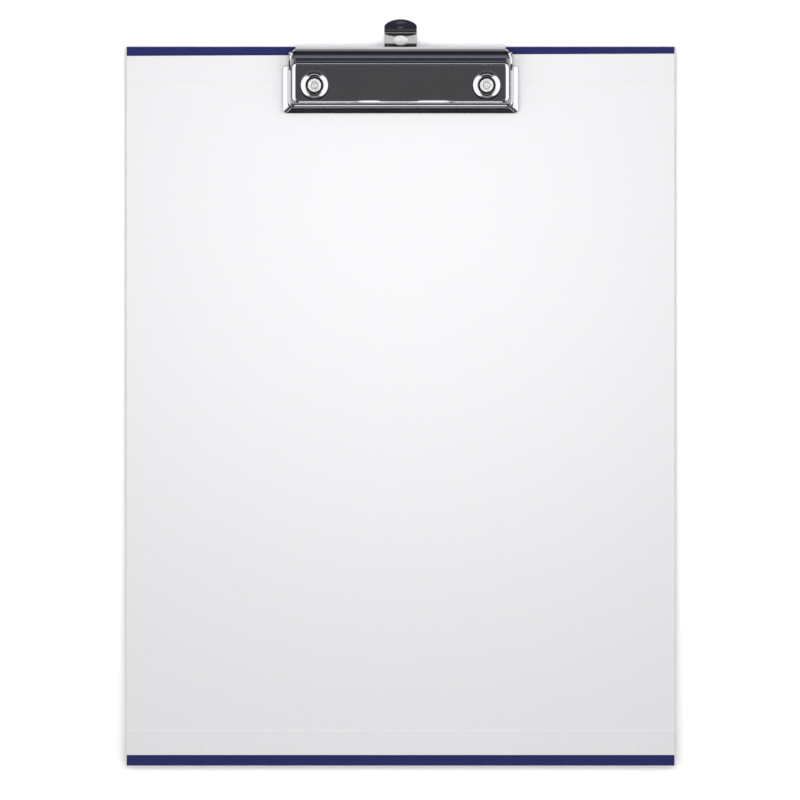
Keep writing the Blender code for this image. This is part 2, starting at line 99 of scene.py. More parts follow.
# Roll and plate; depths are measured from the board's top edge, heights from the lining under the clip
ROLL_RADIUS = 3.9 * MM
ROLL_SINK = 0.03 * MM
ROLL_HALF = PLATE_HIGH[0] - 1.5 * MM
PLATE_HALF = PLATE_HIGH[0]
PLATE_UP = 3.3 * MM
PLATE_REAR = 6.9 * MM
PLATE_FRONT = TOP - PLATE_LOW[1]
SIDE_BEND = 2.6 * MM
SKIRT_BEND = 1.0 * MM
SKIRT_SLOPE = math.radians(33.5)
SKIRT_END_SLOPE = math.radians(80)
SKIRT_INSET = 1.46 * MM
SKIRT_RUN_SHORT = 0.42 * MM
SKIRT_RUN_LONG = 1.0 * MM
SKIRT_LATE = 0.4 * MM
SKIRT_FLATS = ((-19.0 * MM, -7.6 * MM), (6.2 * MM, 21.8 * MM))
SKIRT_FLAT_EASE = 1.5 * MM
SKIRT_SIDES = (44 * MM, 46 * MM)
SKIRT_UP = 1.8 * MM
PLATE_CORNER = 2.6 * MM
ROLL_FRONT_RADIUS = 7.2 * MM
ROLL_FRONT_TURN = 123.5
ROLL_LIP = 0.6 * MM
ROLL_FILLET = 0.5 * MM
NOTCH_HALF = 8 * MM
NOTCH_UP = 3.8 * MM
PLATE_EDGE = 0.12 * MM
DIMPLE_HOLE = 2.3 * MM
DIMPLE_REACH = 9 * MM
DIMPLE_CLEAR = 7.6 * MM
PLATE_GRID = 1.6 * MM
# Distance from a dimple's middle and depth there, in mm: a floor, a steep step, two slopes and a soft rim
DIMPLE_PROFILE = [
    (2.0, -2.35),
    (3.2, -2.35),
    (3.35, -2.2),
    (3.85, -1.42),
    (4.7, -0.74),
    (5.6, -0.2),
    (5.95, -0.05),
    (6.3, 0),
    (9.0, 0),
]
DIMPLE_BLUR = 0.2

# Rivets
RIVET_X = 37.7 * MM
RIVET_DOWN = 17 * MM
RIVET_STEM = 2.0 * MM
RIVET_WELL = 1.3 * MM
COLLAR_RISE = 0.9 * MM
COLLAR_SPLITS = {-1: (0.4, 1.55, 2.5, 3.75, 4.6, 5.7), 1: (0.1, 1.2, 2.4, 3.3, 4.5, 5.4)}
SPLIT_WIDTH = 0.09
SPLIT_DEPTH = 0.28 * MM

# Jaw
JAW_INNER = 48.0 * MM
JAW_FRONT = 25.27 * MM
JAW_REAR = 8.9 * MM
BEAD_UP = 2.6 * MM
BEAD = 0.5 * MM
BEAD_FLAT = (84, 29)
FLANGE = 3.6 * MM
FRONT_FLANGE = 4.03 * MM
FLANGE_START = (1.4 * MM, 2.42 * MM)
SIDE_LIP = 0.5 * MM
FRONT_LIP = 0.15 * MM
EAR_RADIUS = 2.8 * MM
EAR_EDGE = 0.28 * MM
EAR_FRONT_UP = 3.3 * MM
EAR_FRONT = 10.5 * MM
EAR_REACH = 3.5 * MM
EAR_DEPTH = 6.6 * MM
EAR_OUT = 0.9 * MM
EAR_BLOCK = (44 * MM, 51 * MM)
EAR_TOP = 8.6 * MM
JAW_EDGE = 0.1 * MM
WEB_UP = 0.3 * MM
WEB_REAR = 2.6 * MM
WEB_FRONT = 5.2 * MM
WEB_STEP = MM

# Hanging tab
TAB_HALF = 7.1 * MM
TAB_LEG = 1.5 * MM
TAB_FLAT_UP = 3.0 * MM
TAB_SLOPE = 46
TAB_TIP_SLOPE = 18
TAB_INNER_BEND = 0.8 * MM
TAB_OUTER_BEND = 1.4 * MM
TAB_TIP_BEND = 2.2 * MM
TAB_SLOPE_END = 5.6 * MM
TAB_TIP = 11.95 * MM
TAB_SHOULDER = 8.9 * MM
TAB_HOLE = 3.4 * MM
TAB_HOLE_SQUEEZE = 0.735
TAB_HOLE_BEYOND = 2.95 * MM

# Springs and pin
SPRING_WIRE = 0.4 * MM
SPRING_RADIUS = 1.95 * MM
SPRING_PITCH = 1.05 * MM
SPRING_TURNS = 7.5
SPRING_START = 16 * MM
SPRING_LEG_UP = 1.4 * MM
SPRING_GAP = 0.3 * MM
PIN_INSET = 0.55 * MM
PIN_CHAMFER = 0.2 * MM
PIN_ROOM = 0.1 * MM

# Studio
CAMERA_UP = 3.0
CAMERA_PLACE = (-0.25 * MM, 2.7 * MM)
SENSOR = 36
FRAME_WIDTH = 0.3504
KEY_PLACE = (0, 0.094, 0.31)
KEY_SIZE = 0.15
KEY_POWER = 0.60
FLOOR_HALF = 4.0
FLOOR_DROP = 0.02 * MM


def down(distance):
    """Y of a place this far below the board's top edge."""
    return TOP - distance


def up(height):
    """Z of a height above the lining under the clip."""
    return BASE + height


def smooth_step(low, high, value):
    share = min(1, max(0, (value - low) / (high - low)))
    return share * share * (3 - 2 * share)


def arc(centre, radius, start, end, steps):
    angles = np.radians(np.linspace(start, end, steps + 1))
    return [(centre[0] + radius * math.cos(a), centre[1] + radius * math.sin(a)) for a in angles]


# ---------------------------------------------------------------- mesh helpers


def add_object(name, bm, recalc=True):
    if recalc:
        bmesh.ops.recalc_face_normals(bm, faces=bm.faces)
    mesh = bpy.data.meshes.new(name)
    bm.to_mesh(mesh)
    bm.free()
    mesh.shade_smooth()
    made = bpy.data.objects.new(name, mesh)
    bpy.context.collection.objects.link(made)
    return made


def grid_surface(rows, closed_rows=False, closed_columns=False, skip=None):
    """A skin over rows of points. skip(i, j) leaves a face out."""
    bm = bmesh.new()
    verts = [[bm.verts.new(point) for point in row] for row in rows]
    row_count, column_count = len(verts), len(verts[0])
    for i in range(row_count if closed_rows else row_count - 1):
        for j in range(column_count if closed_columns else column_count - 1):
            if skip and skip(i, j):
                continue
            low, high = verts[i], verts[(i + 1) % row_count]
            k = (j + 1) % column_count
            bm.faces.new((low[j], low[k], high[k], high[j]))
    loose = [vert for vert in bm.verts if not vert.link_faces]
    bmesh.ops.delete(bm, geom=loose, context="VERTS")
    return bm, verts


def cap_ends(bm, rings):
    bm.faces.new(rings[0])
    bm.faces.new(list(reversed(rings[-1])))


def turned(profile, centre, steps=64):
    """Spins an (r, z) profile round an upright axis."""
    rows = []
    for r, z in profile:
        ring = []
        for step in range(steps):
            angle = math.tau * step / steps
            ring.append((centre[0] + r * math.cos(angle), centre[1] + r * math.sin(angle), z))
        rows.append(ring)
    bm = prism(rows)
    bmesh.ops.remove_doubles(bm, verts=bm.verts, dist=0.001 * MM)
    return bm


def tube(points, radius, steps=10):
    """A round wire along a path."""
    path = [Vector(p) for p in points]
    normal = Vector((1, 0, 0))
    rows = []
    for i, point in enumerate(path):
        along = (path[min(i + 1, len(path) - 1)] - path[max(i - 1, 0)]).normalized()
        normal = (normal - along * normal.dot(along)).normalized()
        side = along.cross(normal)
        ring = []
        for step in range(steps):
            angle = math.tau * step / steps
            ring.append(point + radius * (math.cos(angle) * normal + math.sin(angle) * side))
        rows.append(ring)
    return prism(rows)


def prism(rows):
    """A closed solid through rings of points, each row a ring."""
    bm, rings = grid_surface(rows, closed_columns=True)
    cap_ends(bm, rings)
    return bm


def plan_surface(loops, extra, height):
    """A triangulated surface inside the first loop and outside the others, lifted to height(x, y)."""
    points, edges = [], []
    for loop in loops:
        start = len(points)
        points += loop
        count = len(loop)
        edges += [(start + i, start + (i + 1) % count) for i in range(count)]
    points += extra
    flat = [Vector(point) for point in points]
    verts, _, faces, _, _, _ = delaunay_2d_cdt(flat, edges, [], 0, 1e-9)
    bm = bmesh.new()
    made = [bm.verts.new((v.x, v.y, height(v.x, v.y))) for v in verts]
    for face in faces:
        centre = sum((verts[i] for i in face), Vector((0, 0))) / 3
        inside = [contains(loop, centre) for loop in loops]
        if inside[0] and not any(inside[1:]):
            bm.faces.new([made[i] for i in face])
    loose = [vert for vert in bm.verts if not vert.link_faces]
    bmesh.ops.delete(bm, geom=loose, context="VERTS")
    return bm


def contains(loop, point):
    """Whether a plan point lies inside a closed loop."""
    inside = False
    x, y = point
    for (ax, ay), (bx, by) in zip(loop, loop[1:] + loop[:1]):
        if (ay > y) != (by > y) and x < ax + (bx - ax) * (y - ay) / (by - ay):
            inside = not inside
    return inside


def thicken(piece, thickness, offset=-1.0):
    step = piece.modifiers.new("sheet", "SOLIDIFY")
    step.thickness = thickness
    step.offset = offset
    step.use_even_offset = True
    step.use_quality_normals = True


def soften(piece, width, segments=2, angle=40):
    step = piece.modifiers.new("edges", "BEVEL")
    step.width = width
    step.segments = segments
    step.limit_method = "ANGLE"
    step.angle_limit = math.radians(angle)
    step.harden_normals = True


def even_shading(piece):
    step = piece.modifiers.new("shading", "WEIGHTED_NORMAL")
    step.keep_sharp = True


# ---------------------------------------------------------------- materials


class Look:
    """A Principled material with procedural texture nodes."""

    def __init__(self, name, colour, roughness, metallic=0.0):
        self.material = bpy.data.materials.new(name)
        self.material.use_nodes = True
        self.tree = self.material.node_tree
        self.shader = self.tree.nodes["Principled BSDF"]
        self.shader.inputs["Base Color"].default_value = (*colour, 1)
        self.shader.inputs["Roughness"].default_value = roughness
        self.shader.inputs["Metallic"].default_value = metallic
        self.place = self.node("ShaderNodeTexCoord").outputs["Object"]

    def node(self, kind, **settings):
        made = self.tree.nodes.new(kind)
        for name, value in settings.items():
            setattr(made, name, value)
        return made

    def link(self, source, target):
        self.tree.links.new(source, target)

    def mapped(self, scale):
        made = self.node("ShaderNodeMapping")
        made.inputs["Scale"].default_value = scale
        self.link(self.place, made.inputs["Vector"])
        return made.outputs["Vector"]

    def noise(self, scale, detail=4.0, roughness=0.6, stretch=(1, 1, 1), distortion=0.0):
        made = self.node("ShaderNodeTexNoise")
        made.inputs["Scale"].default_value = scale
        made.inputs["Detail"].default_value = detail
        made.inputs["Roughness"].default_value = roughness
        made.inputs["Distortion"].default_value = distortion
        self.link(self.mapped(stretch), made.inputs["Vector"])
        return made.outputs["Fac"]

    def spread(self, source, low, high, to_low, to_high):
        made = self.node("ShaderNodeMapRange")
        values = (low, high, to_low, to_high)
        for name, value in zip(("From Min", "From Max", "To Min", "To Max"), values):
            made.inputs[name].default_value = value
        self.link(source, made.inputs["Value"])
        return made.outputs["Result"]

    def blend(self, factor, colour_a, colour_b):
        made = self.node("ShaderNodeMix", data_type="RGBA")
        self.link(factor, made.inputs["Factor"])
        for index, colour in ((6, colour_a), (7, colour_b)):
            if isinstance(colour, tuple):
                made.inputs[index].default_value = (*colour, 1)
            else:
                self.link(colour, made.inputs[index])
        return made.outputs[2]

    def bump(self, source, strength, distance, below=None):
        made = self.node("ShaderNodeBump")
        made.inputs["Strength"].default_value = strength
        made.inputs["Distance"].default_value = distance
        self.link(source, made.inputs["Height"])
        if below:
            self.link(below, made.inputs["Normal"])
        return made.outputs["Normal"]

    def into(self, name, source):
        self.link(source, self.shader.inputs[name])


def chrome_look(name, colour, base_roughness, scratch, metallic=1.0):
    """Polished plating: faint waves, hairline scratches and a film that dulls it a little in patches."""
    look = Look(name, colour, base_roughness, metallic)
    film = look.noise(60, 5)
    look.into("Roughness", look.spread(film, 0.35, 0.7, base_roughness, base_roughness + 0.05))
    dull = tuple(c * 0.86 for c in colour)
    specks = look.noise(2200, 2)
    look.into("Base Color", look.blend(look.spread(specks, 0.66, 0.74, 0, 1), colour, dull))
    waves = look.bump(look.noise(45, 2), 0.05, 0.2 * MM)
    lines = look.noise(260, 3, 0.7, (1, 14, 1), 0.4)
    look.into("Normal", look.bump(lines, scratch, 0.01 * MM, waves))
    return look.material


def steel_look(name, colour, roughness):
    """Bare steel with fine marks along its length."""
    look = Look(name, colour, roughness, 1.0)
    brushed = look.noise(900, 4, 0.6, (0.15, 1, 1))
    look.into("Roughness", look.spread(brushed, 0.3, 0.7, roughness - 0.05, roughness + 0.1))
    dull = tuple(c * 0.8 for c in colour)
    look.into("Base Color", look.blend(look.spread(look.noise(500, 4), 0.4, 0.75, 0, 1), colour, dull))
    look.into("Normal", look.bump(brushed, 0.2, 0.01 * MM))
    return look.material


def paper_look():
    """Coated white lining: fibre mottle, a few specks and a slightly uneven surface."""
    look = Look("white_lining_paper", (0.62, 0.62, 0.622), 0.62)
    fibre = look.noise(900, 6, 0.75)
    cloud = look.noise(28, 4)
    mottle = look.spread(fibre, 0.3, 0.7, 0, 1)
    base = look.blend(mottle, (0.605, 0.605, 0.607), (0.635, 0.635, 0.637))
    tinted = look.blend(look.spread(cloud, 0.3, 0.7, 0, 0.5), base, (0.62, 0.62, 0.622))
    specks = look.spread(look.noise(1300, 1, 0.4), 0.765, 0.79, 0, 0.5)
    look.into("Base Color", look.blend(specks, tinted, (0.25, 0.24, 0.23)))
    look.into("Roughness", look.spread(fibre, 0.3, 0.7, 0.58, 0.68))
    look.into("Normal", look.bump(fibre, 0.25, 0.02 * MM))
    return look.material


def foil_look():
    """Blue covering foil with a fine leather grain."""
    look = Look("blue_cover_foil", (0.009, 0.013, 0.09), 0.42)
    cells = look.node("ShaderNodeTexVoronoi", feature="SMOOTH_F1")
    cells.inputs["Scale"].default_value = 1500
    look.link(look.mapped((1, 1, 1)), cells.inputs["Vector"])
    grain = look.noise(700, 5, 0.65)
    shade = look.spread(grain, 0.3, 0.7, 0, 1)
    look.into("Base Color", look.blend(shade, (0.0075, 0.0115, 0.082), (0.0105, 0.0145, 0.096)))
    look.into("Roughness", look.spread(grain, 0.3, 0.7, 0.38, 0.5))
    fine = look.bump(grain, 0.25, 0.03 * MM)
    look.into("Normal", look.bump(cells.outputs["Distance"], 0.35, 0.04 * MM, fine))
    return look.material


def board_look():
    """Raw greyboard: pressed layers seen on the cut sides, with flecks of recycled fibre."""
    look = Look("greyboard_raw", (0.36, 0.34, 0.31), 0.9)
    layers = look.noise(900, 5, 0.7, (0.12, 0.12, 3))
    flecks = look.noise(2600, 3)
    base = look.blend(look.spread(layers, 0.3, 0.7, 0, 1), (0.27, 0.255, 0.235), (0.42, 0.40, 0.365))
    look.into("Base Color", look.blend(look.spread(flecks, 0.66, 0.72, 0, 0.7), base, (0.16, 0.15, 0.14)))
    look.into("Roughness", look.spread(layers, 0.3, 0.7, 0.85, 0.95))
    look.into("Normal", look.bump(layers, 0.6, 0.08 * MM))
    return look.material


def floor_look():
    look = Look("studio_floor", (0.88, 0.88, 0.88), 0.8)
    grain = look.noise(120, 4)
    shade = look.spread(grain, 0.3, 0.7, 0, 1)
    look.into("Base Color", look.blend(shade, (0.875, 0.875, 0.875), (0.885, 0.885, 0.885)))
    look.shader.inputs["Emission Color"].default_value = (1, 1, 1, 1)
    look.shader.inputs["Emission Strength"].default_value = 0.12
    return look.material


def finish(piece, body, node, material):
    """Gives a piece its material, hides the frame's node that it stands in for, and attaches it to its body
    if it has one.
    """
    piece.data.materials.append(material)
    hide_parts(node)
    if body:
        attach(piece, body)


# ---------------------------------------------------------------- board


def make_back_cover():
    """Foil wrapped round the board's top and bottom, with soft folded edges."""
    turn_top = COVER_HIGH[2]
    outer = COVER_BEND
    inner = outer - COVER
    end = TOP - outer
    half = arc((end, outer), outer, -90, 0, 8)
    half += arc((end, turn_top - outer), outer, 0, 90, 8)
    half += [(TOP - TURN_IN, turn_top), (TOP - TURN_IN, turn_top - COVER)]
    half += arc((end, turn_top - outer), inner, 90, 0, 8)
    half += arc((end, outer), inner, 0, -90, 8)
    points = half + [(-y, z) for y, z in reversed(half)]
    rows = [[(x, y, z) for y, z in points] for x in (-HALF_WIDTH, HALF_WIDTH)]
    piece = add_object("cover_foil", prism(rows))
    for side in (-1, 1):
        place = (side * RIVET_X, down(RIVET_DOWN))
        tool = add_object("cover_hole_tool", turned([(COVER_HOLE, -MM), (COVER_HOLE, 3 * COVER)], place))
        combine(piece, tool, "DIFFERENCE")
    soften(piece, COVER_EDGE)
    even_shading(piece)
    return piece


def make_lining():
    """The lining sheet, which follows the step of the cover's turn-ins under it."""
    inner = TOP - TURN_IN - 0.6 * MM
    ends = (LINING_LOW[1], LINING_HIGH[1] - LINING_SKEW)
    depths = [ends[0], ends[0] + 2 * MM, -inner - 1.2 * MM]
    depths += list(np.linspace(-inner - 0.9 * MM, -inner + 1.1 * MM, 14))
    depths += list(np.linspace(-inner + 4 * MM, inner - 4 * MM, 24))
    depths += list(np.linspace(inner - 1.1 * MM, inner + 0.9 * MM, 14))
    depths += list(np.linspace(inner + 2 * MM, ends[1], 5))
    rows = []
    for x in np.linspace(-HALF_WIDTH, HALF_WIDTH, 31):
        section = []
        for y in depths:
            lift = TURN_IN_STEP * smooth_step(inner - 0.7 * MM, inner + 0.6 * MM, abs(y))
            along = y + LINING_SKEW * x / HALF_WIDTH * smooth_step(inner + 2 * MM, ends[1], y)
            section.append((x, along, LINING_LOW[2] + LINING + lift))
        rows.append(section)
    bm, _ = grid_surface(rows)
    piece = add_object("lining_paper", bm)
    thicken(piece, LINING)
    soften(piece, LINING_EDGE)
    return piece


# ---------------------------------------------------------------- clip plate


def rounded_outline(half, rear, front, corner, steps=12, across=60, along=14):
    """A rounded rectangle with evenly divided straight runs, as plan points."""
    x, y_front, y_rear = half - corner, down(front) + corner, down(rear) - corner
    points = []
    points += arc((x, y_front), corner, -90, 0, steps)
    points += [(half, y) for y in np.linspace(y_front, y_rear, along)[1:-1]]
    points += arc((x, y_rear), corner, 0, 90, steps)
    points += [(px, down(rear)) for px in np.linspace(x, -x, across)[1:-1]]
    points += arc((-x, y_rear), corner, 90, 180, steps)
    points += [(-half, y) for y in np.linspace(y_rear, y_front, along)[1:-1]]
    points += arc((-x, y_front), corner, 180, 270, steps)
    points += [(px, down(front)) for px in np.linspace(-x, x, across)[1:-1]]
    return points


def dimple_depth(r):
    """Depth of a pressed dimple at a distance from its middle."""
    radii, depths = zip(*DIMPLE_PROFILE)
    around = np.linspace(-DIMPLE_BLUR, DIMPLE_BLUR, 9) + r / MM
    return float(np.mean(np.interp(around, radii, depths))) * MM


def plate_ripple(x, y):
    """The plate isn't perfectly flat: a few microns of long waves."""
    return 0.012 * MM * noise.noise(Vector((x * 28, y * 45, 0.3)))


def plate_height(x, y):
    z = up(PLATE_UP) + plate_ripple(x, y)
    r = math.hypot(abs(x) - RIVET_X, y - down(RIVET_DOWN))
    if r < DIMPLE_REACH:
        z += dimple_depth(r)
    return z


def skirt_flat(x):
    """How far the skirt has an even slope: 1 in two places and round the sides, and 0 elsewhere."""
    ease = SKIRT_FLAT_EASE
    share = smooth_step(*SKIRT_SIDES, abs(x))
    for low, high in SKIRT_FLATS:
        rise = smooth_step(low - ease, low + ease, x)
        share = max(share, rise * (1 - smooth_step(high - ease, high + ease, x)))
    return share


def skirt_fall(out, flat):
    """Drop of the plate's bent edge: a bend, an even slope that flat lengthens, and a bend to the rim."""
    run = SKIRT_RUN_SHORT + flat * (SKIRT_RUN_LONG - SKIRT_RUN_SHORT)
    start = (1 - flat) * SKIRT_LATE
    out = max(0.0, out - start)
    bend = SKIRT_BEND * math.sin(SKIRT_SLOPE)
    if out <= bend:
        return SKIRT_BEND - math.sqrt(SKIRT_BEND**2 - out**2)
    fall = SKIRT_BEND * (1 - math.cos(SKIRT_SLOPE)) + min(out - bend, run) * math.tan(SKIRT_SLOPE)
    past = out - bend - run
    if past <= 0:
        return fall
    end = math.sin(SKIRT_END_SLOPE)
    radius = (SKIRT_INSET - start - bend - run) / (end - math.sin(SKIRT_SLOPE))
    angle = math.asin(min(end, math.sin(SKIRT_SLOPE) + past / radius))
    return fall + radius * (math.cos(SKIRT_SLOPE) - math.cos(angle))


def make_plate_tray():
    """The plate's face with dimples, and its bent-down sides and front."""
    rings = []
    bend = SKIRT_BEND * math.sin(SKIRT_SLOPE)
    outs = list(np.linspace(0, bend, 9)) + list(np.linspace(bend, SKIRT_INSET, 15)[1:])
    for out in outs:
        front = SKIRT_INSET - out
        side = front * SIDE_BEND / SKIRT_INSET
        corner = PLATE_CORNER - front
        rings.append((PLATE_HALF - side, PLATE_REAR + front, PLATE_FRONT - front, corner, out))
    rings.append((PLATE_HALF, PLATE_REAR, PLATE_FRONT, PLATE_CORNER, None))
    loops = [rounded_outline(*ring[:4]) for ring in rings]
    flat = loops[0]
    middles = [(side * RIVET_X, down(RIVET_DOWN)) for side in (-1, 1)]
    holes = [arc(middle, DIMPLE_HOLE, 0, 360, 96)[:-1] for middle in middles]
    extra = []
    for middle in middles:
        for r in np.arange(2.5, 7.3, 0.2) * MM:
            extra += arc(middle, r, 0, 360, 96)[:-1]
    for x in np.arange(-PLATE_HALF, PLATE_HALF, PLATE_GRID):
        for y in np.arange(down(PLATE_FRONT), down(PLATE_REAR), PLATE_GRID):
            near = math.hypot(abs(x) - RIVET_X, y - down(RIVET_DOWN)) < DIMPLE_CLEAR
            inside = abs(x) < PLATE_HALF - SIDE_BEND - MM and y < down(PLATE_REAR + 2 * MM)
            if inside and not near and y > down(PLATE_FRONT - 2.2 * MM):
                extra.append((x, y))
    bm = plan_surface([flat] + holes, extra, plate_height)
    bm.verts.index_update()
    bm.verts.ensure_lookup_table()
    tree = KDTree(len(bm.verts))
    for vert in bm.verts:
        tree.insert((vert.co.x, vert.co.y, 0), vert.index)
    tree.balance()
    previous = [bm.verts[tree.find((x, y, 0))[1]] for x, y in flat]
    for loop, ring in zip(loops[1:], rings[1:]):
        current = []
        for (x, y), (fx, fy) in zip(loop, flat):
            bent = 1.0
            if y > down(PLATE_REAR + PLATE_CORNER):
                bent = smooth_step(ROLL_HALF - 1.2 * MM, ROLL_HALF + 0.6 * MM, abs(x))
            fall = PLATE_UP - SKIRT_UP if ring[4] is None else skirt_fall(ring[4], skirt_flat(fx))
            z = plate_height(fx, fy) - fall * bent
            current.append(bm.verts.new((x, y, z)))
        count = len(current)
        for i in range(count):
            j = (i + 1) % count
            bm.faces.new((previous[i], current[i], current[j], previous[j]))
        previous = current
    return add_object("plate_tray", bm)


def make_roll():
    """The hinge roll: rear wall, round top and a tight fillet down on the plate."""
    y, z = down(0) - ROLL_RADIUS, AXIS.z
    foot = COVER_HIGH[2] + 0.3 * MM
    wall = [(down(0), h) for h in np.linspace(foot, up(NOTCH_UP), 3)]
    crown = z + ROLL_RADIUS - ROLL_SINK
    profile = wall + arc((y, crown - ROLL_RADIUS), ROLL_RADIUS, 0, 90, 32)[1:]
    front = (y, crown - ROLL_FRONT_RADIUS)
    profile += arc(front, ROLL_FRONT_RADIUS, 90, ROLL_FRONT_TURN, 28)[1:]
    turn = math.radians(ROLL_FRONT_TURN)
    inset = ROLL_FRONT_RADIUS - ROLL_LIP
    lip = (front[0] + inset * math.cos(turn), front[1] + inset * math.sin(turn))
    profile += arc(lip, ROLL_LIP, ROLL_FRONT_TURN, 180, 10)[1:]
    fillet_centre = (lip[0] - ROLL_LIP - ROLL_FILLET, up(PLATE_UP) + ROLL_FILLET - 0.01 * MM)
    profile += arc(fillet_centre, ROLL_FILLET, 0, -90, 12)
    profile.append((fillet_centre[0] - 0.3 * MM, up(PLATE_UP) - 0.05 * MM))
    columns = sorted(list(np.linspace(-ROLL_HALF, ROLL_HALF, 61)) + [-NOTCH_HALF, NOTCH_HALF])
    rows = []
    for x in columns:
        section = []
        for py, pz in profile:
            bulge = 0.008 * MM * noise.noise(Vector((x * 25, py * 90, pz * 90)))
            section.append((x, py, pz + bulge))
        rows.append(section)
    skip = lambda i, j: j < 2 and columns[i] > -NOTCH_HALF - 1e-6 and columns[i + 1] < NOTCH_HALF + 1e-6
    bm, _ = grid_surface(rows, skip=skip)
    return add_object("plate_roll", bm)


def join(pieces, name):
    """Joins several meshes into the first one."""
    bm = bmesh.new()
    for piece in pieces:
        bm.from_mesh(piece.data)
    for piece in pieces:
        bpy.data.objects.remove(piece, do_unlink=True)
    mesh = bpy.data.meshes.new(name)
    bm.to_mesh(mesh)
    bm.free()
    mesh.shade_smooth()
    made = bpy.data.objects.new(name, mesh)
    bpy.context.collection.objects.link(made)
    return made


def make_plate():
    tray = make_plate_tray()
    orient_up(tray)
    roll = make_roll()
    orient_up(roll)
    piece = join([tray, roll], "plate_chrome")
    thicken(piece, SHEET - 0.02 * MM)
    soften(piece, PLATE_EDGE, 3, 50)
    even_shading(piece)
    return piece


def orient_up(piece, weld=0.0):
    """Turns an open skin so that most of its area faces up, and first welds points closer than weld."""
    bm = bmesh.new()
    bm.from_mesh(piece.data)
    if weld:
        bmesh.ops.remove_doubles(bm, verts=bm.verts, dist=weld)
    bmesh.ops.recalc_face_normals(bm, faces=bm.faces)
    facing = sum(face.normal.z * face.calc_area() for face in bm.faces)
    if facing < 0:
        bmesh.ops.reverse_faces(bm, faces=bm.faces)
    bm.to_mesh(piece.data)
    bm.free()
    piece.data.shade_smooth()


# ---------------------------------------------------------------- rivets


def make_rivet(name, side):
    """Semi-tubular rivet whose rolled collar has split a little as it was set, with a rough shallow well."""
    x, y = side * RIVET_X, down(RIVET_DOWN)
    low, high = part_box("rivet_left")
    collar = high[2] - COLLAR_RISE
    head = (high[0] - low[0]) / 2
    profile = [(0, 0.1 * MM), (head - 0.3 * MM, 0.1 * MM)]
    profile += arc((head - 0.25 * MM, 0.3 * MM), 0.25 * MM, -80, 80, 6)
    profile += [(RIVET_STEM, 0.6 * MM), (RIVET_STEM, collar)]
    profile += [(2.6 * MM, collar), (2.85 * MM, collar + 0.12 * MM)]
    profile += arc((2.45 * MM, collar + 0.42 * MM), 0.52 * MM, -20, 140, 12)
    profile += [(1.85 * MM, collar + 0.6 * MM), (1.68 * MM, collar + 0.2 * MM)]
    profile += [(1.62 * MM, collar - 0.7 * MM), (1.4 * MM, collar - 0.7 * MM)]
    profile.append((1.2 * MM, collar - 0.1 * MM))
    profile += [(r * MM, collar + (0.12 - 0.1 * r) * MM) for r in (0.9, 0.6, 0.3, 0)]
    bm = turned(profile, (x, y), 120)
    for vert in bm.verts:
        dx, dy = vert.co.x - x, vert.co.y - y
        r, angle = math.hypot(dx, dy), math.atan2(dy, dx) % math.tau
        if r < RIVET_WELL and vert.co.z > collar - 0.3 * MM:
            vert.co.z += 0.3 * MM * noise.noise(Vector((dx * 800, dy * 800, 3 * side)))
        if vert.co.z < collar + 0.2 * MM:
            continue
        gap = min(min(abs(angle - s), math.tau - abs(angle - s)) for s in COLLAR_SPLITS[side])
        cut = math.exp(-((gap / SPLIT_WIDTH) ** 2))
        waist = smooth_step(3.0 * MM, 2.3 * MM, r)
        vert.co.z -= SPLIT_DEPTH * cut * waist
        wobble = 0.05 * MM * noise.noise(Vector((dx * 900, dy * 900, side)))
        vert.co.z = min(vert.co.z + wobble, high[2])
    piece = add_object(name, bm)
    piece.data.set_sharp_from_angle(angle=math.radians(50))
    return piece


# ---------------------------------------------------------------- jaw


def jaw_section():
    """Outline of the jaw's pressed edge as (outward, height, share of the lip's rise).

    The bead is round but for a small flat on its outer side, and points near the flat's ends keep it even.
    """
    points = [(0.0, h, 0) for h in np.linspace(1.7 * MM, BEAD_UP, 4)]
    crown = arc((BEAD, BEAD_UP), BEAD, 180, BEAD_FLAT[0], 9)
    fall = arc((BEAD, BEAD_UP), BEAD, BEAD_FLAT[1], 0, 3)
    (o1, h1), (o2, h2) = crown[-1], fall[0]
    crown += [(o1 + t * (o2 - o1), h1 + t * (h2 - h1)) for t in (0.1, 0.9)] + fall
    points += [(o, h, 0) for o, h in crown[1:]]
    start, pull, end = (2 * BEAD, BEAD_UP), (2 * BEAD, 2.5 * MM), FLANGE_START
    for t in np.linspace(0, 1, 9)[1:]:
        o = (1 - t) ** 2 * start[0] + 2 * t * (1 - t) * pull[0] + t * t * end[0]
        h = (1 - t) ** 2 * start[1] + 2 * t * (1 - t) * pull[1] + t * t * end[1]
        points.append((o, h, rise_share(o)))
    for t in np.linspace(0, 1, 10)[1:]:
        o = FLANGE_START[0] + t * (FLANGE - 0.12 * MM - FLANGE_START[0])
        h = FLANGE_START[1] + t * (0.52 * MM - FLANGE_START[1])
        points.append((o, h, rise_share(o)))
    points += [(FLANGE - 0.02 * MM, 0.38 * MM, 1), (FLANGE, 0.26 * MM, 1)]
    points += [(FLANGE - 0.04 * MM, 0.1 * MM, 1), (FLANGE - 0.2 * MM, 0, 1)]
    points += [(FLANGE - 0.8 * MM, 0.02 * MM, 1), (1.1 * MM, 1.5 * MM, 0)]
    return points


def rise_share(outward):
    start = 1.25 * MM
    return min(1, max(0, (outward - start) / (FLANGE - start)))


